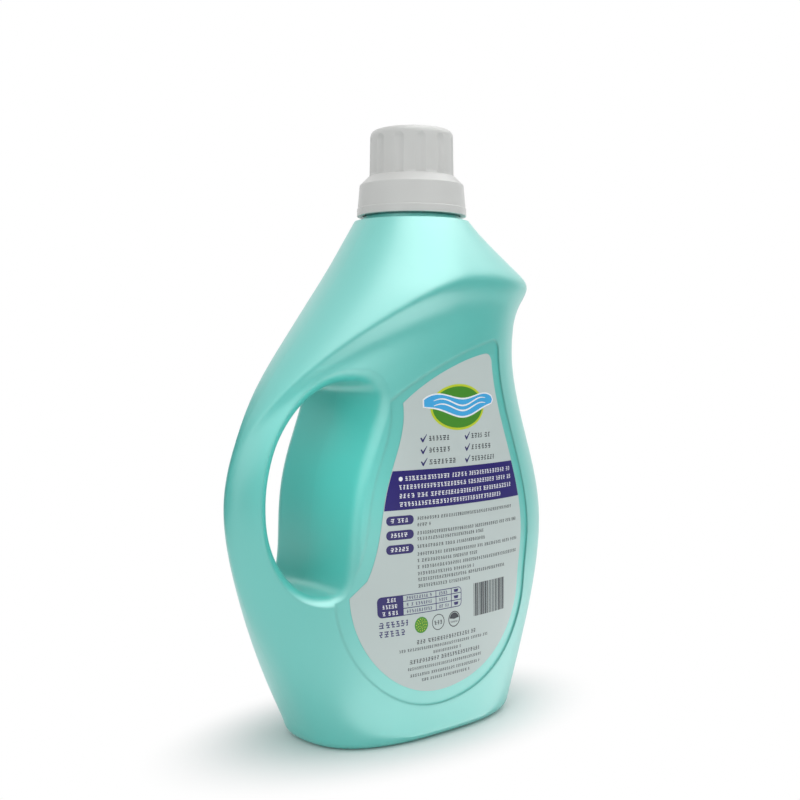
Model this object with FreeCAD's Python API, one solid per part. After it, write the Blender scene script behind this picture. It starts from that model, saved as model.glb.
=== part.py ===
import FreeCAD, Part
import math
import os

# Laundry detergent bottle for 3 kg, blow moulded with a hollow handle, and its measuring cap.
# Millimetres. +Z is up and z = 0 is the surface that the bottle stands on. The handle points
# along -X and the pouring side along +X. The parting plane of the mould is y = 0.

# Heights of the bottle, each measured up from the one before
base_edge = 7.0
belly_rise = 99.0
waist_rise = 98.0
nose_rise = 38.5
shoulder_rise = 34.5
# Outline on the pouring side, from the middle plane
base_right = 78.0
belly_right = 108.5
waist_right = 83.2
nose_right = 98.0
nose_throat = 3.5
nose_slant = 13.0
# Outline on the handle side, from the middle plane
base_left = 63.0
belly_left = 108.5
shoulder_left = 54.3
handle_peak = 22.0
# Thickest place of the plan section, forward of the middle plane
crown_base = 8.0
crown_waist = 10.0
# Half depth of the two faces below the ridge and of the dome above it
base_half_depth = 42.5
face_half_depth = 45.5
chest_half_depth = 42.5
dome_half_depth = 51.0
crest_half_depth = 48.0
# Crest of the shoulder ridge over the nose, its fall to the handle, and the ledge below it
ridge_rise = 3.0
ridge_fall = 89.5
ledge_height = 18.5
# The crest stays level up to this angle from the nose, in degrees, then falls by this power
ridge_level = 60.0
ridge_power = 2.7
# Wall of the bottle, and the hollow under its base inside a standing rim
wall = 1.2
rim_width = 7.0
push_up = 4.0
push_up_slope = 9.0
# Grip opening on the parting plane, and how its edge rounds off into each side
handle_thickness = 21.5
grip_floor = 84.0
grip_height = 104.0
grip_gap_low = 28.5
grip_gap_high = 38.0
grip_draft = 2.0
body_round = 10.0
handle_round = 12.0
arch_round = 11.0
sill_round = 9.0
# Angle at which each rounded edge of the grip meets the skin, in degrees
body_exit = 50.0
handle_exit = 70.0
arch_exit = 68.0
sill_exit = 62.0
# Exponents of the grip's outline on each side: 1 is an ellipse, less is squarer
grip_body_power = 0.85
grip_handle_power = 0.65
# Neck, its plateau and the bead at its foot
neck_offset = 16.5
plateau_radius = 32.0
neck_radius = 26.0
neck_wall = 1.8
bead_width = 1.6
bead_height = 2.2
# Label and the sunk panel round it
panel_sink = 0.9
panel_margin = 7.5
label_thickness = 0.15
label_glue = 0.06
label_middle = -3.5
label_floor = 27.0
label_bowl = 54.0
label_bowl_width = 52.5
label_side_margin = 44.0
label_top_drop = 38.5
label_corner = 6.0
label_top_bow = 4.0
# Stretch of the grip's rim beside the label, in degrees about the grip
label_edge_low = -57.0
label_edge_high = 57.0
# Margin between that rim and the label at the stretch's foot, middle and head, and how fast it
# widens from both ends, over the whole stretch
label_foot_margin = 5.5
label_grip_margin = 12.0
label_head_margin = 7.5
label_margin_slope = 24.0
# Cap: a skirt ring with a cup above it
skirt_gap = 3.0
skirt_radius = 30.5
skirt_band = 4.0
skirt_step = 0.35
skirt_top_radius = 29.0
skirt_height = 17.7
skirt_edge = 1.2
skirt_draft = 0.1
cup_foot_rise = 3.6
cup_radius = 23.4
cup_top_radius = 23.0
cup_height = 26.0
cup_edge = 3.5
cup_flare = 1.2
cup_flare_height = 1.7
cap_wall = 1.3
thread_clearance = 1.1
plug_depth = 5.0
plug_clearance = 0.45
plug_lead = 0.8
flute_count = 12
flute_width = 6.0
flute_depth = 0.7
flute_crown = 3.7
# Pour spout and cap liner
flange_thickness = 1.4
flange_inset = 0.3
spout_wall = 1.1
press_clearance = 0.05
trough_depth = 14.0
spout_radius = 11.5
spout_rise = 11.5
spout_lip_drop = 9.0
drain_width = 5.0
drain_height = 6.0
liner_thickness = 1.0
liner_clearance = 0.2

belly_height = base_edge + belly_rise
waist_height = belly_height + waist_rise
nose_height = waist_height + nose_rise
plateau_height = nose_height + shoulder_rise
skirt_bottom = plateau_height + skirt_gap
skirt_top = skirt_bottom + skirt_height
cup_foot = skirt_top + cup_foot_rise
cap_top = cup_foot + cup_height
roof_height = skirt_top - 0.5 * cap_wall
flange_top = roof_height - liner_thickness
neck_top = flange_top - flange_thickness
grip_top = grip_floor + grip_height
tool_reach = 1.25 * dome_half_depth
collar_outer = neck_radius - neck_wall - press_clearance
collar_inner = collar_outer - spout_wall
plug_outer = collar_inner - plug_clearance
skirt_inner = neck_radius + thread_clearance

SKIN_COLUMNS = 56
GRIP_COLUMNS = 36
SEARCH_STEPS = 40


def vector(x, y, z):
    return FreeCAD.Vector(x, y, z)


def signed_power(value, power):
    return math.copysign(abs(value) ** power, value)


def flow(keys):
    """Smooth curve through (place, value, slope) keys, straight on beyond both ends."""
    def value(place):
        first, last = keys[0], keys[-1]
        if place <= first[0]:
            return first[1] + first[2] * (place - first[0])
        if place >= last[0]:
            return last[1] + last[2] * (place - last[0])
        index = 0
        while keys[index + 1][0] < place:
            index += 1
        (p0, v0, s0), (p1, v1, s1) = keys[index], keys[index + 1]
        span = p1 - p0
        t = (place - p0) / span
        rise = t * t * (3 - 2 * t)
        start = t * (1 - t) ** 2 * span * s0
        end = t * t * (t - 1) * span * s1
        return v0 + (v1 - v0) * rise + start + end
    return value


# Outlines and half depths by height, as (height, value, slope)
right_side = flow([
    (base_edge, base_right, 0.28),
    (belly_height, belly_right, 0.0),
    (waist_height, waist_right, 0.0),
    (nose_height - 0.2 * nose_rise, nose_right - nose_throat, 0.85),
    (nose_height, nose_right, -0.15),
    (nose_height + 0.3 * shoulder_rise, nose_right - nose_slant, -1.55),
    (plateau_height, neck_offset + plateau_radius, -1.15),
])
left_side = flow([
    (base_edge, -base_left, -0.5),
    (belly_height + handle_peak, -belly_left, 0.0),
    (waist_height + 0.5 * nose_rise, -shoulder_left, 0.9),
    (plateau_height, neck_offset - plateau_radius, 0.6),
])
crown_line = flow([
    (base_edge, crown_base, 0.0),
    (waist_height, crown_waist, 0.03),
    (plateau_height, neck_offset, 0.1),
])
face_depth = flow([
    (base_edge, base_half_depth, 0.18),
    (belly_height, face_half_depth, 0.0),
    (nose_height, chest_half_depth, -0.02),
])
dome_depth = flow([
    (belly_height, face_half_depth, 0.0),
    (waist_height, dome_half_depth, 0.0),
    (nose_height, crest_half_depth, -0.45),
    (plateau_height, plateau_radius, -0.5),
])
# Exponents of the plan section on each side of the crown line: 2 is an ellipse, more is squarer
left_face_power = flow([(base_edge, 2.5, 0.0), (belly_height, 1.6, 0.0), (plateau_height, 1.6, 0.0)])
left_dome_power = flow([(nose_height, 1.85, 0.0), (plateau_height, 2.0, 0.0)])
right_power = flow([(base_edge, 2.5, 0.0), (belly_height, 2.35, 0.0), (plateau_height, 2.0, 0.0)])
# Share of the dome in the depth, by height above the crest of the ridge
ledge = flow([(-ledge_height, 0.0, 0.0), (0.0, 0.9, 0.06), (0.17 * ledge_height, 1.0, 0.0)])


def ridge_height(angle):
    """Height of the ridge's crest at an angle about the bottle, 0 at the nose and pi at the handle."""
    turn = abs(math.atan2(math.sin(angle), math.cos(angle)))
    start = math.radians(ridge_level)
    share = max(turn - start, 0.0) / (math.pi - start)
    return nose_height + ridge_rise - ridge_fall * share ** ridge_power


def dome_share(height, crest):
    """How much of the dome's form is in the skin, from none below the ledge to all above the crest."""
    above_crest = height - crest
    if above_crest <= -ledge_height:
        return 0.0
    return min(ledge(above_crest), 1.0)


def mix(first, second, share):
    return first + share * (second - first)


def skin_point(angle, height):
    """Point of the bottle's skin above the rounded base edge."""
    cosine, sine = math.cos(angle), math.sin(angle)
    crown = crown_line(height)
    share = dome_share(height, ridge_height(angle))
    if cosine >= 0:
        reach, power = right_side(height) - crown, right_power(height)
    else:
        reach, power = crown - left_side(height), mix(left_face_power(height), left_dome_power(height), share)
    depth = mix(face_depth(height), dome_depth(height), share)
    x = crown + reach * signed_power(cosine, 2 / power)
    return vector(x, depth * signed_power(sine, 2 / power), height)


def depth_at(x, height):
    """Half depth of the skin over a point of the parting plane."""
    low, high = 0.0, math.pi
    for _ in range(SEARCH_STEPS):
        angle = (low + high) / 2
        if skin_point(angle, height).x > x:
            low = angle
        else:
            high = angle
    return abs(skin_point(angle, height).y)


def spread(start, stop, steps):
    return [start + (stop - start) * step / steps for step in range(steps)]


def foot_point(angle, inset, height):
    """Point inside the bottle's foot line by an inset, at a height."""
    foot = skin_point(angle, base_edge)
    outward = (foot - vector(crown_line(base_edge), 0, base_edge)).normalize()
    place = foot - outward * inset
    return vector(place.x, place.y, height)


def skin_column(angle):
    """Poles of the skin from the foot to the plateau at one angle, closer together at the ridge."""
    poles = []
    for degrees in (0, 25, 50, 72):
        turn = math.radians(degrees)
        poles.append(foot_point(angle, base_edge * (1 - math.sin(turn)), base_edge * (1 - math.cos(turn))))
    crest = ridge_height(angle)
    heights = spread(1.15 * base_edge, crest - 1.5 * ledge_height, 15)
    for share in (-1.4, -1.0, -0.72, -0.5, -0.3, -0.14, 0.0, 0.14, 0.32):
        heights.append(crest + share * ledge_height)
    heights += spread(crest + 0.6 * ledge_height, plateau_height, 7) + [plateau_height]
    return poles + [skin_point(angle, height) for height in heights]


def ring_of(column, count):
    return [column(2 * math.pi * index / count) for index in range(count)]


def offset_net(net, distance):
    """Net of poles moved along its own normals."""
    moved = []
    for index, column in enumerate(net):
        before, after = net[index - 1], net[(index + 1) % len(net)]
        last = len(column) - 1
        points = []
        for row, point in enumerate(column):
            around = after[row] - before[row]
            along = column[min(row + 1, last)] - column[max(row - 1, 0)]
            points.append(point + around.cross(along).normalize() * distance)
        moved.append(points)
    return moved


def flatten_ends(net, first, last, axis):
    """Net whose first and last rows lie on two planes square to an axis."""
    flat = []
    for column in net:
        points = [vector(point.x, point.y, point.z) for point in column]
        setattr(points[0], axis, first)
        setattr(points[-1], axis, last)
        flat.append(points)
    return flat


def solid_from_net(net):
    """Closed solid with a smooth skin over a ring of pole columns and two flat ends."""
    count = len(net)
    spans = len(net[0]) - 3
    surface = Part.BSplineSurface()
    surface.buildFromPolesMultsKnots(
        net, [1] * (count + 1), [4] + [1] * (spans - 1) + [4],
        list(range(count + 1)), list(range(spans + 1)), True, False, 3, 3)
    side = surface.toShape()
    rims = [edge for edge in side.Edges if not edge.isSeam(side)]
    shell = Part.Shell([side] + [Part.Face(Part.Wire([edge])) for edge in rims])
    shell.fix(1e-5, 1e-5, 1e-4)
    return Part.Solid(shell)


def inset_bottle(inset):
    """The bottle's outer form without its grip, moved inward all round."""
    net = offset_net(ring_of(skin_column, SKIN_COLUMNS), -inset)
    return solid_from_net(flatten_ends(net, inset, plateau_height - inset, "z"))


def grip_gap(height):
    return grip_gap_low + (grip_gap_high - grip_gap_low) * (height - grip_floor) / grip_height


def grip_wall(height):
    """Place of the grip opening's wall on the body's side."""
    return left_side(height) + handle_thickness + grip_gap(height)


def grip_outline(turn):
    """Point of the grip opening on the parting plane, from the body's side over the arch."""
    power = grip_body_power if math.cos(turn) > 0 else grip_handle_power
    height = grip_floor + grip_height / 2 * (1 + signed_power(math.sin(turn), power))
    half_gap = grip_gap(height) / 2
    return vector(grip_wall(height) - half_gap * (1 - signed_power(math.cos(turn), power)), 0, height)


def grip_outward(turn):
    """Direction square to the grip opening's outline, away from its air."""
    step = 0.05
    along = grip_outline(turn + step) - grip_outline(turn - step)
    return vector(along.z, 0, -along.x).normalize()


def grip_round(out):
    """Radius of the grip's rounded edge, and the angle at which it meets the skin, by its direction."""
    shares = [max(out.x, 0.0) ** 2, max(-out.x, 0.0) ** 2, max(out.z, 0.0) ** 2, max(-out.z, 0.0) ** 2]
    rounds = [body_round, handle_round, arch_round, sill_round]
    exits = [body_exit, handle_exit, arch_exit, sill_exit]
    radius = sum(share * value for share, value in zip(shares, rounds))
    degrees = sum(share * value for share, value in zip(shares, exits))
    return radius, math.radians(degrees)


def grip_rim(turn, margin):
    """Point of the parting plane below the grip's rim on the faces, or outside it by a margin."""
    out = grip_outward(turn)
    radius, exit_angle = grip_round(out)
    return grip_outline(turn) + out * (grip_draft + radius * (1 - math.cos(exit_angle)) + margin)


def grip_column(turn):
    """Poles of the grip opening's wall across the depth, rounded out to meet the skin on both faces."""
    out = grip_outward(turn)
    radius, exit_angle = grip_round(out)
    start = grip_outline(turn)
    rim = grip_rim(turn, 0.0)
    flare = (rim - start).Length
    rim_depth = depth_at(rim.x, rim.z)
    straight = rim_depth - radius * math.sin(exit_angle)
    half = [(0.0, 0.0), (0.5 * straight, 0.5 * grip_draft), (straight, grip_draft)]
    for share in (0.3, 0.6, 0.85, 1.0):
        bend = exit_angle * share
        half.append((straight + radius * math.sin(bend), grip_draft + radius * (1 - math.cos(bend))))
    for beyond in (3.0, 8.0, tool_reach - rim_depth):
        half.append((rim_depth + beyond, flare + beyond * math.tan(exit_angle)))
    back = [start + out * move + vector(0, depth, 0) for depth, move in half]
    front = [vector(point.x, -point.y, point.z) for point in reversed(back[1:])]
    return front + back


def grip_tool(growth):
    """The air of the grip opening, grown by a distance."""
    net = offset_net(ring_of(grip_column, GRIP_COLUMNS), -growth)
    return solid_from_net(flatten_ends(net, -tool_reach, tool_reach, "y"))


def push_up_tool(growth):
    """The hollow under the base, grown by a distance."""
    lip = base_edge + rim_width - growth
    rows = [(-2.0, lip - 1.0), (0.0, lip), (0.25, lip + 0.2 * push_up_slope)]
    rows += [(0.75, lip + 0.6 * push_up_slope), (1.0, lip + push_up_slope), (1.0, lip + 1.5 * push_up_slope)]

    def column(angle):
        top = push_up + growth
        return [foot_point(angle, inset, height * top if height > 0 else height) for height, inset in rows]
    return solid_from_net(ring_of(column, SKIN_COLUMNS))


def through(points):
    """Edge of a smooth curve through points."""
    curve = Part.BSplineCurve()
    curve.interpolate(points)
    return curve.toShape()


def label_outline(growth):
    """Closed outline of the label on the parting plane, grown all round."""
    top = nose_height - label_top_drop + growth
    bowl_height = label_floor + label_bowl

    def right(height):
        return right_side(height) - label_side_margin + growth

    def bowl(turn):
        width = label_bowl_width + growth if math.cos(turn) < 0 else right(bowl_height) - label_middle
        height = bowl_height + (label_bowl + growth) * math.sin(turn)
        return vector(label_middle + width * math.cos(turn), 0, height)

    margin = flow([
        (0.0, label_foot_margin, label_margin_slope), (0.5, label_grip_margin, 0.0),
        (1.0, label_head_margin, -label_margin_slope)])

    def beside(share):
        return grip_rim(math.radians(mix(label_edge_low, label_edge_high, share)), margin(share) - growth)

    beside_grip = [beside(step / 6) for step in range(7)]
    flank = [bowl(math.radians(degrees)) for degrees in range(180, 360, 12)]
    flank += [vector(right(height), 0, height) for height in spread(bowl_height, top - label_corner, 6)]
    flank.append(vector(right(top - label_corner), 0, top - label_corner))
    corner = vector(flank[-1].x - 0.25 * label_corner, 0, top - 0.25 * label_corner)
    top_end = vector(flank[-1].x - label_corner, 0, top)
    top_middle = (beside_grip[-1] + top_end) * 0.5 + vector(-0.5 * label_top_bow, 0, label_top_bow)
    return Part.Wire([
        through(flank), Part.Arc(flank[-1], corner, top_end).toShape(),
        through([top_end, top_middle, beside_grip[-1]]), through(beside_grip[::-1]),
        Part.makeLine(beside_grip[0], flank[0])])


def label_prism(growth, side):
    """The label's outline carried straight out through one face, side -1 or +1."""
    return Part.Face(label_outline(growth)).extrude(vector(0, side * tool_reach, 0))


def sunk(solid, inset, growth):
    """Solid with both label panels cut down to an inset from the bottle's skin."""
    floor = inset_bottle(inset)
    for side in (-1, 1):
        solid = solid.cut(label_prism(growth, side).cut(floor))
    return solid


def cylinder(radius, bottom, top):
    return Part.makeCylinder(radius, top - bottom, vector(neck_offset, 0, bottom))


def turned(points):
    """Solid of revolution about the neck's axis from (radius, height) points."""
    corners = [vector(neck_offset + radius, 0, height) for radius, height in points]
    face = Part.Face(Part.makePolygon(corners + corners[:1]))
    return face.revolve(vector(neck_offset, 0, 0), vector(0, 0, 1), 360)


def arc_points(centre_radius, centre_height, radius, start, stop, steps=6):
    """Points of a rounded edge in a turned profile, from one angle to another in degrees."""
    points = []
    for step in range(steps + 1):
        turn = math.radians(mix(start, stop, step / steps))
        points.append((centre_radius + radius * math.cos(turn), centre_height + radius * math.sin(turn)))
    return points


def make_bottle():
    """Blow-moulded shell with its hollow handle, sunk panels, push-up and neck."""
    outer = sunk(inset_bottle(0.0).cut(grip_tool(0.0)), panel_sink, panel_margin)
    outer = outer.cut(push_up_tool(0.0))
    neck = cylinder(neck_radius, plateau_height - wall, neck_top)
    bead = cylinder(neck_radius + bead_width, plateau_height - wall, plateau_height + bead_height)
    outer = outer.fuse(neck).fuse(bead)
    cavity = sunk(inset_bottle(wall).cut(grip_tool(wall)), panel_sink + wall, panel_margin + wall)
    cavity = cavity.cut(push_up_tool(wall))
    bore = cylinder(neck_radius - neck_wall, plateau_height - 4 * wall, neck_top + wall)
    return outer.cut(cavity.fuse(bore))


def make_label(side):
    """Printed film on the floor of one sunk panel."""
    film = label_prism(0.0, side).common(inset_bottle(panel_sink - label_glue - label_thickness))
    return film.cut(inset_bottle(panel_sink - label_glue))


def make_cap():
    """Measuring cup with its flutes, the skirt that screws over the neck, and the plug inside."""
    plug_inner = plug_outer - cap_wall
    outer = [(skirt_radius - 0.5 * skirt_step, skirt_bottom), (skirt_radius, skirt_bottom + 0.5 * skirt_step)]
    outer += [(skirt_radius - skirt_draft, skirt_bottom + skirt_band)]
    outer += [(skirt_radius - skirt_draft - skirt_step, skirt_bottom + skirt_band + skirt_step)]
    outer += arc_points(skirt_top_radius - skirt_edge, skirt_top - skirt_edge, skirt_edge, 5, 60)
    outer += [(cup_radius + cup_flare, cup_foot)]
    outer += [(cup_radius + 0.25 * cup_flare, cup_foot + 0.3 * cup_flare_height)]
    outer += [(cup_radius, cup_foot + cup_flare_height)]
    outer += arc_points(cup_top_radius - cup_edge, cap_top - cup_edge, cup_edge, 3, 90)
    inner = arc_points(cup_top_radius - cup_edge, cap_top - cup_edge, cup_edge - cap_wall, 90, 3)
    inner += [(plug_inner, roof_height), (plug_inner, roof_height - plug_depth)]
    inner += [(plug_outer - 0.4 * plug_lead, roof_height - plug_depth)]
    inner += [(plug_outer, roof_height - plug_depth + plug_lead)]
    inner += [(plug_outer, roof_height), (skirt_inner, roof_height), (skirt_inner, skirt_bottom)]
    cap = turned(outer + [(0.0, cap_top), (0.0, cap_top - cap_wall)] + inner)
    cutter_radius = (flute_width ** 2 / 4 + flute_depth ** 2) / (2 * flute_depth)
    centre = cutter_radius - flute_depth
    arch = math.sqrt(cutter_radius ** 2 - centre ** 2)
    foot = vector(neck_offset + cup_radius + centre, 0, cup_foot + cup_flare_height)
    head = vector(neck_offset + cup_top_radius + centre, 0, cap_top - flute_crown - arch)
    cutter = Part.makeCylinder(cutter_radius, (head - foot).Length, foot, head - foot)
    cutter = cutter.fuse(Part.makeSphere(cutter_radius, head)).fuse(Part.makeSphere(cutter_radius, foot))
    cutters = []
    for index in range(flute_count):
        copy = cutter.copy()
        copy.rotate(vector(neck_offset, 0, 0), vector(0, 0, 1), 360.0 * index / flute_count)
        cutters.append(copy)
    keep = cylinder(skirt_radius, cup_foot + 0.3 * cup_flare_height, cap_top)
    return cap.cut(Part.makeCompound(cutters).common(keep))


def make_spout():
    """Drain-back insert: a flange on the neck's rim, a trough, and a slanted spout with its drain slot."""
    trough = neck_top - trough_depth
    body = turned([
        (spout_radius, trough), (collar_outer, trough), (collar_outer, neck_top),
        (neck_radius - flange_inset, neck_top), (neck_radius - flange_inset, flange_top),
        (collar_inner, flange_top), (collar_inner, trough + spout_wall), (spout_radius, trough + spout_wall),
    ])
    lip_height = neck_top + spout_rise
    tube = cylinder(spout_radius, trough, lip_height)
    tube = tube.cut(cylinder(spout_radius - spout_wall, trough, lip_height))
    back = neck_offset - 2 * spout_radius
    front = neck_offset + spout_radius
    clear = lip_height + spout_wall
    corners = [vector(back, 0, lip_height - 1.5 * spout_lip_drop), vector(front, 0, lip_height),
               vector(front, 0, clear), vector(back, 0, clear)]
    slope = Part.makePolygon(corners + corners[:1])
    above_lip = Part.Face(slope).extrude(vector(0, 4 * spout_radius, 0))
    above_lip.translate(vector(0, -2 * spout_radius, 0))
    drain = Part.makeBox(3 * spout_wall, drain_width, drain_height)
    drain.translate(vector(neck_offset - spout_radius - spout_wall, -drain_width / 2, trough + spout_wall))
    return body.fuse(tube.cut(above_lip).cut(drain))


def make_liner():
    """Flat sealing ring between the spout's flange and the cap's roof."""
    outer = skirt_inner - liner_clearance
    hole = cylinder(plug_outer + liner_clearance, flange_top, roof_height)
    return cylinder(outer, flange_top, roof_height).cut(hole)


pieces = {
    "bottle": make_bottle(),
    "back_label": make_label(-1),
    "front_label": make_label(1),
    "cap": make_cap(),
    "cap_liner": make_liner(),
    "pour_spout": make_spout(),
}
os.makedirs("parts", exist_ok=True)
for name, shape in pieces.items():
    shape.exportStep("parts/" + name + ".step")
    box = shape.BoundBox
    print(name, "solids", len(shape.Solids), "valid", shape.isValid(), "volume", round(shape.Volume),
          "box", [round(value, 2) for value in (box.XMin, box.XMax, box.YMin, box.YMax, box.ZMin, box.ZMax)])
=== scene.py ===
import math
import random

import bmesh
import bpy
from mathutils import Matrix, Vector
from mathutils.bvhtree import BVHTree


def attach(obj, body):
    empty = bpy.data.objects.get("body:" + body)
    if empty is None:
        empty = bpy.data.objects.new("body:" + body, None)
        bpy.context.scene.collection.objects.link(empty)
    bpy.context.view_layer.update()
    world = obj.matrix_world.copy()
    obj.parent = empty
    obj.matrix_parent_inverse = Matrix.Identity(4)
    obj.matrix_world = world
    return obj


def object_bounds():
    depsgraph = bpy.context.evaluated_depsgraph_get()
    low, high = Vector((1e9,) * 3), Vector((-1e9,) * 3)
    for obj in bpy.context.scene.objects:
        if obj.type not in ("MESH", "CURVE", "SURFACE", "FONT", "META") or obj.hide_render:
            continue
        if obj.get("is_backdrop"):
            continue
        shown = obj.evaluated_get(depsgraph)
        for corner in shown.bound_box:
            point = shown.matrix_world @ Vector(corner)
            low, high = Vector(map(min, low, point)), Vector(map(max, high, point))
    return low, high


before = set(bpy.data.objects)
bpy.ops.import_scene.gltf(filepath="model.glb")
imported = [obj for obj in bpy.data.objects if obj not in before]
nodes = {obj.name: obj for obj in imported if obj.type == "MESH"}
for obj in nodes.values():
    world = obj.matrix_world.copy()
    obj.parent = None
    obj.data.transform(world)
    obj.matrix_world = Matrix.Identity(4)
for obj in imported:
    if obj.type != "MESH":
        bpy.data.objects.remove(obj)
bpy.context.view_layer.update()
MM = 0.001

# Bottle. Blow-moulded high-density polyethylene, coloured through and through, with a pearl
# pigment that makes its broad highlights pale. The mould leaves a fine line where its halves meet.


def linear(code):
    """Linear colour, with full alpha, of an sRGB hex value."""
    channels = []
    for start in (0, 2, 4):
        share = int(code[start:start + 2], 16) / 255
        channels.append(share / 12.92 if share <= 0.04045 else ((share + 0.055) / 1.055) ** 2.4)
    return channels + [1.0]


def add_node(tree, kind, settings, inputs):
    """Adds one shader node. An input is a value, or an output of another node."""
    made = tree.nodes.new("ShaderNode" + kind)
    for name, value in settings.items():
        setattr(made, name, value)
    for name, value in inputs.items():
        if isinstance(value, bpy.types.NodeSocket):
            tree.links.new(value, made.inputs[name])
        else:
            made.inputs[name].default_value = value
    return made


def new_material(name):
    """Material with an empty tree and its output node."""
    material = bpy.data.materials.new(name)
    material.use_nodes = True
    material.node_tree.nodes.clear()
    return material, material.node_tree, material.node_tree.nodes.new("ShaderNodeOutputMaterial")


def wear(piece, material):
    """Gives a piece one material all over."""
    piece.data.materials.clear()
    piece.data.materials.append(material)


# Pearl-pigmented HDPE, as it comes from a sand-blasted mould: a satin skin that goes pale where
# it faces the light, and a little light that spreads inside the wall. The coat stands for the
# pigment's flakes, which mirror more than the resin does. The blasted grain is really finer than
# 1 mm, and is drawn as coarse as it needs to show.
cloud_width = 45 * MM
grain_width = 1.1 * MM
grain_depth = 0.05 * MM
corner_softness = 2.5 * MM
seam_half_width = 0.45 * MM
seam_height = 0.15 * MM
light_spread = 2.5 * MM
hdpe, tree, output = new_material("pearl teal HDPE, blow moulded")
place = add_node(tree, "TexCoord", {}, {}).outputs["Object"]
clouds = add_node(tree, "TexNoise", {}, {"Vector": place, "Scale": 1 / cloud_width, "Detail": 2.0})
teal = add_node(tree, "Mix", {"data_type": "RGBA"}, {
    "Factor": clouds.outputs["Fac"], "A": linear("44C4BA"), "B": linear("4BCABF")})
grain = add_node(tree, "TexNoise", {}, {"Vector": place, "Scale": 1 / grain_width, "Detail": 2.0})
soft_edge = add_node(tree, "Bevel", {"samples": 6}, {"Radius": corner_softness})
skin_bump = add_node(tree, "Bump", {}, {
    "Strength": 0.12, "Distance": grain_depth, "Height": grain.outputs["Fac"],
    "Normal": soft_edge.outputs["Normal"]})
across = add_node(tree, "SeparateXYZ", {}, {"Vector": place}).outputs["Y"]
off_seam = add_node(tree, "Math", {"operation": "ABSOLUTE"}, {0: across}).outputs[0]
seam = add_node(tree, "MapRange", {"interpolation_type": "SMOOTHSTEP"}, {
    "Value": off_seam, "From Min": 0.0, "From Max": seam_half_width, "To Min": 1.0, "To Max": 0.0})
seam_bump = add_node(tree, "Bump", {}, {
    "Strength": 0.6, "Distance": seam_height, "Height": seam.outputs["Result"],
    "Normal": skin_bump.outputs["Normal"]})
shader = add_node(tree, "BsdfPrincipled", {}, {
    "Base Color": teal.outputs["Result"], "Roughness": 0.45, "IOR": 1.54, "Specular IOR Level": 1.0,
    "Coat Weight": 1.0, "Coat Roughness": 0.4, "Coat IOR": 1.8,
    "Subsurface Weight": 0.12, "Subsurface Radius": (1.0, 1.0, 1.0), "Subsurface Scale": light_spread,
    "Normal": seam_bump.outputs["Normal"]})
tree.links.new(shader.outputs["BSDF"], output.inputs["Surface"])
wear(nodes["bottle"], hdpe)

# Neck thread. One and a half turns of a low ridge, moulded in one with the neck, under the cap's
# skirt. It climbs 6 mm a turn and fades into the neck at both ends.

neck_axis = Vector((16.5 * MM, 0.0, 0.0))
thread_lead = 6.0 * MM
thread_foot_half = 1.1 * MM
thread_top_half = 0.45 * MM
thread_steps_a_turn = 96
thread_fade_share = 1 / 8


def thread(name, material, body, root, crest, start, turns):
    """Closed helical ridge about the neck's axis that rises from its root radius and fades at both ends."""
    steps = int(turns * thread_steps_a_turn)
    mesh = bmesh.new()
    rings = []
    for step in range(steps + 1):
        turn = 2 * math.pi * turns * step / steps
        fade = min(1.0, step / steps / thread_fade_share, (steps - step) / steps / thread_fade_share)
        top = root + (crest - root) * math.sin(fade * math.pi / 2)
        height = start + thread_lead * turn / (2 * math.pi)
        outward = Vector((math.cos(turn), math.sin(turn), 0.0))
        ring = []
        for radius, rise in (
                (root, -thread_foot_half), (top, -thread_top_half),
                (top, thread_top_half), (root, thread_foot_half)):
            ring.append(mesh.verts.new(neck_axis + outward * radius + Vector((0, 0, height + rise))))
        rings.append(ring)
    for first, second in zip(rings, rings[1:]):
        for corner in range(4):
            following = (corner + 1) % 4
            mesh.faces.new((first[corner], first[following], second[following], second[corner]))
    mesh.faces.new(rings[0][::-1])
    mesh.faces.new(rings[-1])
    bmesh.ops.recalc_face_normals(mesh, faces=mesh.faces[:])
    data = bpy.data.meshes.new(name)
    mesh.to_mesh(data)
    mesh.free()
    piece = bpy.data.objects.new(name, data)
    bpy.context.scene.collection.objects.link(piece)
    wear(piece, material)
    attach(piece, body)


thread("neck_thread", hdpe, "bottle_body", root=25.9 * MM, crest=26.85 * MM, start=282.4 * MM, turns=1.5)

# Cap. Injection-moulded polypropylene, screwed down over the neck: a ring with a fluted measuring
# cup above it. Milky grey white, with a soft gloss off the polished mould, and a thread inside.

cap_cloud_width = 20 * MM
cap_light_spread = 3.0 * MM
pp, tree, output = new_material("milky grey PP, injection moulded")
place = add_node(tree, "TexCoord", {}, {}).outputs["Object"]
clouds = add_node(tree, "TexNoise", {}, {"Vector": place, "Scale": 1 / cap_cloud_width, "Detail": 2.0})
grey = add_node(tree, "Mix", {"data_type": "RGBA"}, {
    "Factor": clouds.outputs["Fac"], "A": linear("CBCCCA"), "B": linear("D1D2D0")})
shader = add_node(tree, "BsdfPrincipled", {}, {
    "Base Color": grey.outputs["Result"], "Roughness": 0.36, "IOR": 1.49,
    "Subsurface Weight": 0.2, "Subsurface Radius": (1.0, 1.0, 1.0), "Subsurface Scale": cap_light_spread})
tree.links.new(shader.outputs["BSDF"], output.inputs["Surface"])
wear(nodes["cap"], pp)
thread("cap_thread", pp, "cap_body", root=27.2 * MM, crest=26.3 * MM, start=285.4 * MM, turns=1.25)

# Pour spout. White low-density polyethylene, injection moulded and pressed into the neck. It is
# waxy to the eye and a little translucent.

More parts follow.
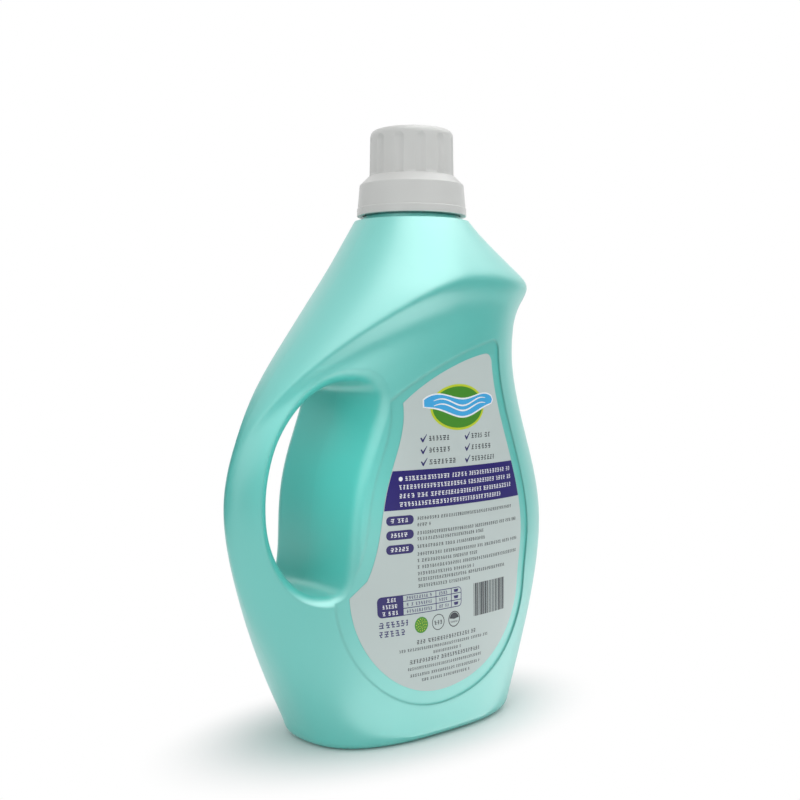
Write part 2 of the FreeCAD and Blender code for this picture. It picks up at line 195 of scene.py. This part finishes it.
spout_light_spread = 2.0 * MM
ldpe, tree, output = new_material("waxy white LDPE, moulded")
shader = add_node(tree, "BsdfPrincipled", {}, {
    "Base Color": linear("E8EAE8"), "Roughness": 0.45, "IOR": 1.51,
    "Subsurface Weight": 0.3, "Subsurface Radius": (1.0, 1.0, 1.0), "Subsurface Scale": spout_light_spread})
tree.links.new(shader.outputs["BSDF"], output.inputs["Surface"])
wear(nodes["pour_spout"], ldpe)

# Cap liner. A flat ring, die cut from foamed polyethylene sheet and held in the cap, matt and
# white, with the fine cells of the foam.

cell_width = 0.5 * MM
cell_depth = 0.1 * MM
foam, tree, output = new_material("white PE foam sheet, die cut")
place = add_node(tree, "TexCoord", {}, {}).outputs["Object"]
cells = add_node(tree, "TexVoronoi", {}, {"Vector": place, "Scale": 1 / cell_width})
cell_bump = add_node(tree, "Bump", {}, {
    "Strength": 0.3, "Distance": cell_depth, "Height": cells.outputs["Distance"]})
shader = add_node(tree, "BsdfPrincipled", {}, {
    "Base Color": linear("EDEDEA"), "Roughness": 0.6, "IOR": 1.5, "Normal": cell_bump.outputs["Normal"]})
tree.links.new(shader.outputs["BSDF"], output.inputs["Surface"])
wear(nodes["cap_liner"], foam)

# Labels. Printed polyethylene film with a matt varnish, one glued into the sunk panel of each
# face. The film is pale grey, and ripples very slightly where it follows the bottle.

ripple_width = 9 * MM
ripple_depth = 0.15 * MM
film, tree, output = new_material("pale grey PE film, matt varnished")
place = add_node(tree, "TexCoord", {}, {}).outputs["Object"]
ripple = add_node(tree, "TexNoise", {}, {"Vector": place, "Scale": 1 / ripple_width, "Detail": 1.0})
film_bump = add_node(tree, "Bump", {}, {
    "Strength": 0.1, "Distance": ripple_depth, "Height": ripple.outputs["Fac"]})
shader = add_node(tree, "BsdfPrincipled", {}, {
    "Base Color": linear("C0CCCA"), "Roughness": 0.4, "IOR": 1.5, "Normal": film_bump.outputs["Normal"]})
tree.links.new(shader.outputs["BSDF"], output.inputs["Surface"])
wear(nodes["back_label"], film)
wear(nodes["front_label"], film)

# Ink. Flexographic print under the label's varnish, in seven colours. Its screen of dots is really
# finer than 0.2 mm, and is drawn as coarse as it needs to show.

dot_width = 0.6 * MM
paler_dots = 1.18


def ink(name, code):
    """One colour of ink, uneven by its dots."""
    material, tree, output = new_material(name)
    place = add_node(tree, "TexCoord", {}, {}).outputs["Object"]
    dots = add_node(tree, "TexNoise", {}, {"Vector": place, "Scale": 1 / dot_width, "Detail": 1.0})
    paler = [min(1.0, paler_dots * value) for value in linear(code)]
    colour = add_node(tree, "Mix", {"data_type": "RGBA"}, {
        "Factor": dots.outputs["Fac"], "A": linear(code), "B": paler})
    shader = add_node(tree, "BsdfPrincipled", {}, {
        "Base Color": colour.outputs["Result"], "Roughness": 0.4, "IOR": 1.5})
    tree.links.new(shader.outputs["BSDF"], output.inputs["Surface"])
    return material


purple_ink = ink("purple flexo ink", "1C0E6A")
navy_ink = ink("navy flexo ink", "2A2366")
text_ink = ink("dark grey flexo ink", "2C323A")
white_ink = ink("white flexo ink", "E6E9EC")
blue_ink = ink("light blue flexo ink", "35A3DC")
green_ink = ink("leaf green flexo ink", "3F8A1C")
yellow_ink = ink("yellow green flexo ink", "B9C81E")


ray_start = 0.2
edge_search = 0.1
edge_halvings = 24


class LabelFace:
    """The outer surface of one label, seen from straight in front of it. side is -1 or +1 along Y."""

    def __init__(self, node, side):
        self.side = side
        self.mesh = nodes[node].data
        self.mesh.calc_loop_triangles()
        self.triangles = [tuple(triangle.vertices) for triangle in self.mesh.loop_triangles]
        self.corners = [tuple(triangle.loops) for triangle in self.mesh.loop_triangles]
        self.tree = BVHTree.FromPolygons([vertex.co.copy() for vertex in self.mesh.vertices], self.triangles)

    def hit(self, x, z):
        """Point and smooth normal of the surface at x and z, or None beside the label."""
        start = Vector((x, self.side * ray_start, z))
        point, _, index, _ = self.tree.ray_cast(start, Vector((0, -self.side, 0)))
        if point is None:
            return None
        weights = barycentric(point, [self.mesh.vertices[vertex].co for vertex in self.triangles[index]])
        normal = Vector((0, 0, 0))
        for weight, corner in zip(weights, self.corners[index]):
            normal += weight * self.mesh.corner_normals[corner].vector
        return point, normal.normalized()

    def edges(self, z, middle):
        """Least and greatest x of the label at a height."""
        ends = []
        for direction in (-1, 1):
            inside, outside = middle, middle + direction * edge_search
            for _ in range(edge_halvings):
                probe = (inside + outside) / 2
                if self.hit(probe, z):
                    inside = probe
                else:
                    outside = probe
            ends.append(inside)
        return ends


def barycentric(point, corners):
    """Weights of a triangle's corners at a point on it."""
    first, second, third = corners
    whole = (second - first).cross(third - first)
    size = whole.length_squared
    share_second = (point - first).cross(third - first).dot(whole) / size
    share_third = (second - first).cross(point - first).dot(whole) / size
    return 1 - share_second - share_third, share_second, share_third


print_lift = 0.05 * MM
print_sink = 0.05 * MM
print_cell = 2.5 * MM
same_place = 1e-7


def print_on(face, name, material, shapes):
    """One closed film of ink from flat shapes, each a ring of (x, z) points in millimetres."""
    mesh = bmesh.new()
    for shape in shapes:
        mesh.faces.new([mesh.verts.new((x * MM, 0.0, z * MM)) for x, z in shape])
    low = Vector([min(vertex.co[axis] for vertex in mesh.verts) for axis in range(3)])
    high = Vector([max(vertex.co[axis] for vertex in mesh.verts) for axis in range(3)])
    for axis, normal in ((0, (1, 0, 0)), (2, (0, 0, 1))):
        cut = math.ceil(low[axis] / print_cell) * print_cell
        while cut < high[axis]:
            bmesh.ops.bisect_plane(
                mesh, geom=mesh.verts[:] + mesh.edges[:] + mesh.faces[:], plane_co=Vector(normal) * cut,
                plane_no=normal, dist=same_place)
            cut += print_cell
    bmesh.ops.triangulate(mesh, faces=mesh.faces[:])
    flat = mesh.faces[:]
    raised = bmesh.ops.extrude_face_region(mesh, geom=flat)["geom"]
    raised = {item for item in raised if isinstance(item, bmesh.types.BMVert)}
    normals = {}
    for vertex in mesh.verts:
        point, normal = face.hit(vertex.co.x, vertex.co.z)
        vertex.co = point + normal * (print_lift if vertex in raised else -print_sink)
        normals[vertex] = normal
    bmesh.ops.recalc_face_normals(mesh, faces=mesh.faces[:])
    mesh.verts.index_update()
    ordered = [normals[vertex] for vertex in mesh.verts]
    for part in mesh.faces:
        part.smooth = True
    data = bpy.data.meshes.new(name)
    mesh.to_mesh(data)
    mesh.free()
    data.normals_split_custom_set_from_vertices(ordered)
    piece = bpy.data.objects.new(name, data)
    bpy.context.scene.collection.objects.link(piece)
    wear(piece, material)
    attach(piece, "bottle_body")
    return piece


def box_shape(left, right, low, high):
    return [(left, low), (right, low), (right, high), (left, high)]


def round_shape(centre_x, centre_z, half_width, half_height, steps=40):
    """Ring of points of an ellipse."""
    points = []
    for step in range(steps):
        turn = 2 * math.pi * step / steps
        points.append((centre_x + half_width * math.cos(turn), centre_z + half_height * math.sin(turn)))
    return points


def pill_shape(left, right, low, high, radii):
    """Rounded box. radii go round from the lower right corner, counter-clockwise."""
    corners = [(right, low, -90), (right, high, 0), (left, high, 90), (left, low, 180)]
    points = []
    for (x, z, start), radius in zip(corners, radii):
        centre_x = x - radius if x == right else x + radius
        centre_z = z - radius if z == high else z + radius
        for step in range(7):
            turn = math.radians(start + 15 * step)
            points.append((centre_x + radius * math.cos(turn), centre_z + radius * math.sin(turn)))
    return points


def arc_band(centre_x, centre_z, outer, inner, start, stop, steps=24):
    """Part of a ring between two angles in degrees, as four-sided shapes. outer and inner are half sizes."""
    shapes = []
    for step in range(steps):
        turns = [math.radians(start + (stop - start) * (step + more) / steps) for more in (0, 1)]
        ring = []
        for (half_width, half_height), order in ((outer, turns), (inner, turns[::-1])):
            for turn in order:
                ring.append((centre_x + half_width * math.cos(turn), centre_z + half_height * math.sin(turn)))
        shapes.append(ring)
    return shapes


stroke_share = 0.16
gap_share = 0.18
word_gap_share = 0.6
word_gap_chance = 0.08


def text_row(left, right, middle, height, chance):
    """Fine strokes in cells of uneven width that stand for a line of words, with nothing to read."""
    shapes = []
    stroke = stroke_share * height
    x = left
    while x < right - 0.5 * height:
        width = min(height * chance.uniform(0.6, 0.95), right - x)
        for level in (-0.4, 0.0, 0.4):
            start, end = x + width * chance.uniform(0.0, 0.3), x + width * chance.uniform(0.7, 1.0)
            low = middle + level * height - stroke / 2
            shapes.append(box_shape(start, end, low, low + stroke))
        for level in (-0.4, 0.0):
            post = x + width * chance.uniform(0.2, 0.7)
            low = middle + level * height + 0.6 * stroke
            shapes.append(box_shape(post, post + stroke, low, low + 0.4 * height - 1.2 * stroke))
        x += width + gap_share * height
        if chance.random() < word_gap_chance:
            x += word_gap_share * height
    return shapes


def check_mark(x, z):
    """A tick, thin at its left end and long to the upper right."""
    return [(x - 2.1, z + 0.2), (x - 1.5, z + 0.7), (x - 0.6, z - 0.5), (x + 1.9, z + 2.3),
            (x + 2.1, z + 2.1), (x - 0.4, z - 1.9), (x - 0.9, z - 1.9)]


band_inset = 0.25


def full_band(face, low, high, middle):
    """Field of colour across the whole label between two heights, in millimetres."""
    steps = math.ceil(high - low)
    heights = [low + (high - low) * step / steps for step in range(steps + 1)]
    edges = [face.edges(height * MM, middle * MM) for height in heights]
    left = [(ends[0] / MM + band_inset, height) for ends, height in zip(edges, heights)]
    right = [(ends[1] / MM - band_inset, height) for ends, height in zip(edges, heights)]
    return left[::-1] + right


# Print of the back label, laid out in millimetres. Fields of colour, pills, ticks, a dosing table,
# round marks, a field of bars that code nothing, and rows of strokes where the words would be.

overprint = 0.06 * MM
back = LabelFace("back_label", -1)
chance = random.Random(7)
print_on(back, "back_band", purple_ink, [full_band(back, 124.0, 144.2, 0.0)])


def raise_print(piece, face, layers=1):
    """Lifts a piece of print above those that it overprints."""
    for vertex in piece.data.vertices:
        vertex.co.y += face.side * layers * overprint


shapes = [round_shape(-27.6, 140.0, 1.15, 1.15, 20)]
for left, right, middle in (
        (-24.9, 53.5, 140.1), (-28.5, 54.0, 135.7), (-28.5, 54.2, 131.2), (-28.5, 45.3, 126.9)):
    shapes += text_row(left, right, middle, 2.3, chance)
raise_print(print_on(back, "back_band_words", white_ink, shapes), back)

tick_rows = (160.1, 154.0, 147.8)
shapes = []
for column in (-13.2, 16.8):
    for middle in tick_rows:
        shapes.append(check_mark(column, middle))
print_on(back, "back_ticks", navy_ink, shapes)
shapes = []
for column, ends in ((-10.2, (5.2, 5.1, 8.5)), (19.8, (36.4, 36.2, 39.1))):
    for middle, right in zip(tick_rows, ends):
        shapes += text_row(column, right, middle, 2.6, chance)
print_on(back, "back_tick_words", text_ink, shapes)

pill_half_height, pill_round = 2.4, 2.3
shapes = []
words = []
for middle in (118.7, 111.2, 103.8):
    low, high = middle - pill_half_height, middle + pill_half_height
    shapes.append(pill_shape(-36.1, -20.1, low, high, [pill_round] * 4))
    words += text_row(-33.6, -22.4, middle, 2.2, chance)
print_on(back, "back_pills", navy_ink, shapes)
raise_print(print_on(back, "back_pill_words", white_ink, words), back)

shapes = []
for right, middle in (
        (54.0, 119.0), (-9.5, 115.7), (59.0, 111.4), (28.9, 108.3), (30.1, 104.4), (60.0, 100.4),
        (24.8, 97.0), (60.0, 93.6), (21.1, 90.2), (47.8, 87.1), (18.7, 83.8)):
    shapes += text_row(-18.0, right, middle, 1.7, chance)
for left, right, middle, height in (
        (-19.7, 22.0, 54.7, 2.1), (-30.4, 32.9, 51.2, 1.5), (-9.0, 11.2, 48.1, 1.5), (-24.1, 26.4, 44.8, 2.1),
        (-25.3, 27.3, 41.2, 1.5), (-23.7, 25.9, 37.6, 1.5), (-16.3, 18.3, 34.4, 1.5)):
    shapes += text_row(left, right, middle, height, chance)
print_on(back, "back_words", text_ink, shapes)

table_left, table_right, table_low, table_high = -42.0, 11.2, 69.6, 80.2
header_right = -27.2
rule = 0.4
header_round, square_round, table_round = 2.6, 0.01, 2.4
header_rounds = (square_round, square_round, header_round, header_round)
shapes = [pill_shape(table_left, header_right, table_low, table_high, header_rounds)]
for height in (table_low, table_low + 3.5, table_low + 7.1, table_high - rule):
    short = table_round if height in (table_low, table_high - rule) else 0.0
    shapes.append(box_shape(header_right, table_right - short, height, height + rule))
for column in (-7.0, 3.6):
    shapes.append(box_shape(column, column + rule, table_low + rule, table_high - rule))
shapes.append(box_shape(table_right - rule, table_right, table_low + table_round, table_high - table_round))
for centre_z, start in ((table_low + table_round, -90), (table_high - table_round, 0)):
    outer, inner = [table_round] * 2, [table_round - rule] * 2
    shapes += arc_band(table_right - table_round, centre_z, outer, inner, start, start + 90, 6)
for middle in (71.5, 75.0, 78.4):
    shapes += text_row(-25.4, -9.5, middle, 1.6, chance) + text_row(-4.8, 1.8, middle, 1.6, chance)
    shapes.append([(6.0, middle - 0.8), (8.4, middle - 0.8), (8.9, middle + 0.8), (5.5, middle + 0.8)])
for middle in (65.8, 61.2):
    shapes += text_row(-41.5, -24.6, middle, 3.1, chance)
print_on(back, "back_table", navy_ink, shapes)
words = []
for left, right, middle in ((-36.6, -31.5, 78.2), (-39.4, -29.6, 75.0), (-39.4, -29.6, 71.6)):
    words += text_row(left, right, middle, 2.0, chance)
raise_print(print_on(back, "back_table_words", white_ink, words), back)

mark_z, mark_radius = 63.4, 4.2
green_mark_x, word_mark_x, sky_mark_x = -16.6, -5.5, 5.7
print_on(back, "back_round_mark", green_ink, [round_shape(green_mark_x, mark_z, mark_radius, mark_radius)])
speckle_radius = 0.27
speckles = []
for ring_radius, count in ((1.1, 5), (2.1, 9), (3.1, 14)):
    for index in range(count):
        turn = 2 * math.pi * index / count + ring_radius
        centre_x = green_mark_x + ring_radius * math.cos(turn)
        centre_z = mark_z + ring_radius * math.sin(turn)
        speckles.append(round_shape(centre_x, centre_z, speckle_radius, speckle_radius, 8))
raise_print(print_on(back, "back_round_mark_dots", yellow_ink, speckles), back)
outer = [mark_radius] * 2
shapes = arc_band(word_mark_x, mark_z, outer, (3.8, 3.8), 0, 360, 40)
shapes += text_row(-8.2, -2.9, 63.2, 2.2, chance)
shapes += arc_band(sky_mark_x, mark_z, outer, (3.7, 3.7), 0, 360, 40)
shapes += arc_band(sky_mark_x, mark_z, (3.4, 3.4), (0.02, 0.02), 10, 170, 16)
shapes += text_row(3.0, 8.6, 62.0, 0.9, chance)
print_on(back, "back_ring_marks", text_ink, shapes)

bars_right, bars_low, bars_high = 47.0, 62.4, 80.2
shapes = []
x = 20.8
while x < bars_right:
    width = chance.choice((0.35, 0.35, 0.7, 1.05))
    shapes.append(box_shape(x, x + width, bars_low, bars_high))
    x += width + chance.choice((0.35, 0.35, 0.7))
print_on(back, "back_bars", text_ink, shapes)

# Badge, printed at the head of each label: a green oval with a pale rim, and a light blue ribbon
# with a white edge and two white lines that waves across it.

badge_half_width, badge_half_height = 19.6, 12.2
field_share_x, field_share_z = 0.93, 0.9
ribbon_share_left, ribbon_share_right, ribbon_share_up = 1.25, 1.4, 0.12
ribbon_half_share, ribbon_sway_share, ribbon_edge = 0.36, 0.16, 0.9
line_inset_share, line_half_share, line_rises = 0.12, 0.035, (-0.12, 0.1)
ribbon_waves, ribbon_lead, ribbon_point = 2.6, 0.4, 0.35


def ribbon_shape(left, right, middle, half_width, sway):
    """Ring of points of a band that sways once and a bit between two pointed ends."""
    steps = 48
    upper, lower = [], []
    for step in range(1, steps):
        share = step / steps
        centre = middle + sway * math.sin(ribbon_waves * math.pi * share + ribbon_lead)
        half = half_width * math.sin(math.pi * share) ** ribbon_point
        x = left + (right - left) * share
        upper.append((x, centre + half))
        lower.append((x, centre - half))
    return upper + [(right, centre)] + lower[::-1]


def print_badge(face, name, centre_x, centre_z, scale):
    """Prints the badge in its five layers."""
    half_width, half_height = badge_half_width * scale, badge_half_height * scale
    print_on(face, name + "_rim", yellow_ink, [round_shape(centre_x, centre_z, half_width, half_height, 72)])
    field = print_on(face, name + "_field", green_ink, [
        round_shape(centre_x, centre_z, field_share_x * half_width, field_share_z * half_height, 72)])
    raise_print(field, face)
    left, right = centre_x - ribbon_share_left * half_width, centre_x + ribbon_share_right * half_width
    middle = centre_z + ribbon_share_up * half_height
    half, sway, edge = ribbon_half_share * half_height, ribbon_sway_share * half_height, ribbon_edge * scale
    bands = [ribbon_shape(left - edge, right + edge, middle, half + edge, sway)]
    raise_print(print_on(face, name + "_ribbon_edge", white_ink, bands), face, 2)
    bands = [ribbon_shape(left, right, middle, half, sway)]
    raise_print(print_on(face, name + "_ribbon", blue_ink, bands), face, 3)
    inset = line_inset_share * (right - left)
    bands = []
    for rise in line_rises:
        bands.append(ribbon_shape(
            left + inset, right - inset, middle + rise * half_height, line_half_share * half_height, sway))
    raise_print(print_on(face, name + "_ribbon_lines", white_ink, bands), face, 4)


print_badge(back, "back_badge", 11.0, 175.8, 1.0)

# Print of the front label, which the photograph doesn't show. It has the same colours and the
# same badge, and is kept plain.

front = LabelFace("front_label", 1)
print_on(front, "front_band", purple_ink, [full_band(front, 62.0, 104.0, 0.0)])
shapes = []
for middle, height in ((94.0, 6.0), (82.0, 3.0), (76.0, 3.0), (70.0, 3.0)):
    shapes += text_row(-28.0, 42.0, middle, height, chance)
raise_print(print_on(front, "front_band_words", white_ink, shapes), front)
print_badge(front, "front_badge", 7.0, 150.0, 1.2)

# Floor. A sweep of white paper, matt, which takes the bottle's shadow. Rays that only look at it
# find it plain white away from the shadow, as the photograph's background is.


def looked_at(tree):
    """1 for rays from the camera, a reflection or a see-through surface, else 0."""
    rays = add_node(tree, "LightPath", {}, {}).outputs
    seen = add_node(tree, "Math", {"operation": "MAXIMUM"}, {
        0: rays["Is Camera Ray"], 1: rays["Is Glossy Ray"]})
    seen = add_node(tree, "Math", {"operation": "MAXIMUM"}, {
        0: seen.outputs[0], 1: rays["Is Transmission Ray"]})
    return seen.outputs[0]


floor_half = 6.0
shadow_oval = (0.55, 1.0, 1.0)
shadow_full, shadow_gone = 0.04, 0.085
floor_mesh = bpy.data.meshes.new("floor")
floor_corners = [(-floor_half, -floor_half, 0), (floor_half, -floor_half, 0),
                 (floor_half, floor_half, 0), (-floor_half, floor_half, 0)]
floor_mesh.from_pydata(floor_corners, [], [(0, 1, 2, 3)])
floor = bpy.data.objects.new("floor", floor_mesh)
bpy.context.scene.collection.objects.link(floor)
paper, tree, output = new_material("white paper sweep")
place = add_node(tree, "TexCoord", {}, {}).outputs["Object"]
oval = add_node(tree, "VectorMath", {"operation": "MULTIPLY"}, {0: place, 1: shadow_oval})
distance = add_node(tree, "VectorMath", {"operation": "LENGTH"}, {0: oval.outputs[0]}).outputs["Value"]
far = add_node(tree, "MapRange", {"interpolation_type": "SMOOTHSTEP"}, {
    "Value": distance, "From Min": shadow_full, "From Max": shadow_gone, "To Min": 0.0, "To Max": 1.0})
seen = add_node(tree, "Math", {"operation": "MULTIPLY"}, {0: far.outputs["Result"], 1: looked_at(tree)})
shader = add_node(tree, "BsdfPrincipled", {}, {"Base Color": linear("F1F2F2"), "Roughness": 0.9})
bright = add_node(tree, "Emission", {}, {"Color": (1.0, 1.0, 1.0, 1.0), "Strength": 1.0})
either = add_node(tree, "MixShader", {}, {0: seen.outputs[0], 1: shader.outputs[0], 2: bright.outputs[0]})
tree.links.new(either.outputs[0], output.inputs["Surface"])
wear(floor, paper)
floor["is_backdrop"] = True

# Surround. White walls all round, soft on the object and plain white to rays that look at them.

world = bpy.data.worlds.new("white surround")
bpy.context.scene.world = world
world.use_nodes = True
tree = world.node_tree
tree.nodes.clear()
output = tree.nodes.new("ShaderNodeOutputWorld")
soft = add_node(tree, "Background", {}, {"Color": (1.0, 1.0, 1.0, 1.0), "Strength": 0.72})
white = add_node(tree, "Background", {}, {"Color": (1.0, 1.0, 1.0, 1.0), "Strength": 1.0})
either = add_node(tree, "MixShader", {}, {0: looked_at(tree), 1: soft.outputs[0], 2: white.outputs[0]})
tree.links.new(either.outputs[0], output.inputs["Surface"])

# Lamps. Softboxes above, to the left, and down on the floor in front, whose light comes back up
# onto the foot of the bottle. Two bright cards are seen by reflections only. A narrow lamp beside
# the camera stands for the light that the real plastic lets through into the depth of the grip.


def aim(holder, place, target):
    """Puts a lamp at a place, in metres, and turns it to a target."""
    holder.location = place
    holder.rotation_mode = "QUATERNION"
    holder.rotation_quaternion = (Vector(target) - Vector(place)).to_track_quat("-Z", "Y")
    bpy.context.scene.collection.objects.link(holder)


def softbox(name, place, target, width, height, power):
    """Rectangular area lamp that no camera sees."""
    lamp = bpy.data.lights.new(name, "AREA")
    lamp.shape = "RECTANGLE"
    lamp.size, lamp.size_y, lamp.energy = width, height, power
    holder = bpy.data.objects.new(name, lamp)
    holder.visible_camera = False
    aim(holder, place, target)
    return holder


softbox("top softbox", (0.05, -0.35, 0.95), (0.0, 0.0, 0.2), 1.0, 1.0, 1.7)
softbox("left softbox", (-0.95, -0.4, 0.5), (0.0, 0.0, 0.2), 0.6, 0.6, 0.8)
floor_lamp = softbox("floor softbox", (0.32, -0.36, 0.35), (0.32, -0.36, 0.0), 0.45, 0.45, 0.7)
floor_lamp.data.spread = math.radians(50)
top_card = softbox("top card", (0.16, -0.25, 0.96), (0.0, 0.0, 0.2), 1.4, 1.0, 10.0)
floor_card = softbox("floor card", (0.18, -0.31, 0.004), (0.18, -0.31, 1.0), 0.5, 0.54, 0.8)
top_card.visible_diffuse = floor_card.visible_diffuse = False

grip_lamp = bpy.data.lights.new("grip spot", "SPOT")
grip_lamp.energy, grip_lamp.spot_size, grip_lamp.spot_blend = 12.0, math.radians(11.0), 1.0
grip_lamp.shadow_soft_size = 0.03
grip_holder = bpy.data.objects.new("grip spot", grip_lamp)
grip_holder.scale = (0.42, 0.8, 1.0)
grip_holder.visible_glossy = False
aim(grip_holder, (-0.4, -0.44, 0.18), (-0.045, 0.0, 0.145))

# Cloths. Black molleton hung to the near right, to the far left and behind the camera, out of the
# picture. Only reflections see them, and they keep the broad faces and the grip from going pale.

cloth, tree, output = new_material("black molleton cloth")
shader = add_node(tree, "BsdfPrincipled", {}, {"Base Color": linear("1C1C1C"), "Roughness": 0.95})
tree.links.new(shader.outputs["BSDF"], output.inputs["Surface"])
cloth_low, cloth_high = 0.01, 0.42
for name, degrees, distance, left, right in (
        ("near cloth", 42.0, -0.5, -0.6, 0.42), ("far cloth", 42.0, 0.5, -0.6, 0.42),
        ("camera cloth", -42.0, -0.9, -0.5, 0.5)):
    turn = math.radians(degrees)
    mesh = bpy.data.meshes.new(name)
    corners = [(left, 0, cloth_low), (right, 0, cloth_low), (right, 0, cloth_high), (left, 0, cloth_high)]
    mesh.from_pydata(corners, [], [(0, 1, 2, 3)])
    hanging = bpy.data.objects.new(name, mesh)
    hanging.location = (-distance * math.sin(turn), distance * math.cos(turn), 0.0)
    hanging.rotation_euler = (0.0, 0.0, turn)
    hanging.visible_camera = hanging.visible_shadow = hanging.visible_diffuse = False
    bpy.context.scene.collection.objects.link(hanging)
    wear(hanging, cloth)
    hanging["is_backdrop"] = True

# Camera. It stands where the photograph's did, a little above the middle of the bottle and well
# round to the handle's side.

camera_target = Vector((7.8 * MM, 0.0, 178.1 * MM))
camera_azimuth, camera_elevation = math.radians(-42.0), math.radians(2.65)
camera_distance = 647.6 * MM
toward_camera = Vector((
    math.sin(camera_azimuth) * math.cos(camera_elevation),
    -math.cos(camera_azimuth) * math.cos(camera_elevation), math.sin(camera_elevation)))
camera = bpy.data.objects.new("camera", bpy.data.cameras.new("camera"))
camera.data.lens = 52.34
camera.data.sensor_width = 36.0
camera.data.clip_start = 0.01
camera.location = camera_target + toward_camera * camera_distance
camera.rotation_mode = "QUATERNION"
camera.rotation_quaternion = (-toward_camera).to_track_quat("-Z", "Y")
bpy.context.scene.collection.objects.link(camera)
bpy.context.scene.camera = camera
bpy.context.scene.view_settings.view_transform = "Standard"

low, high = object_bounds()
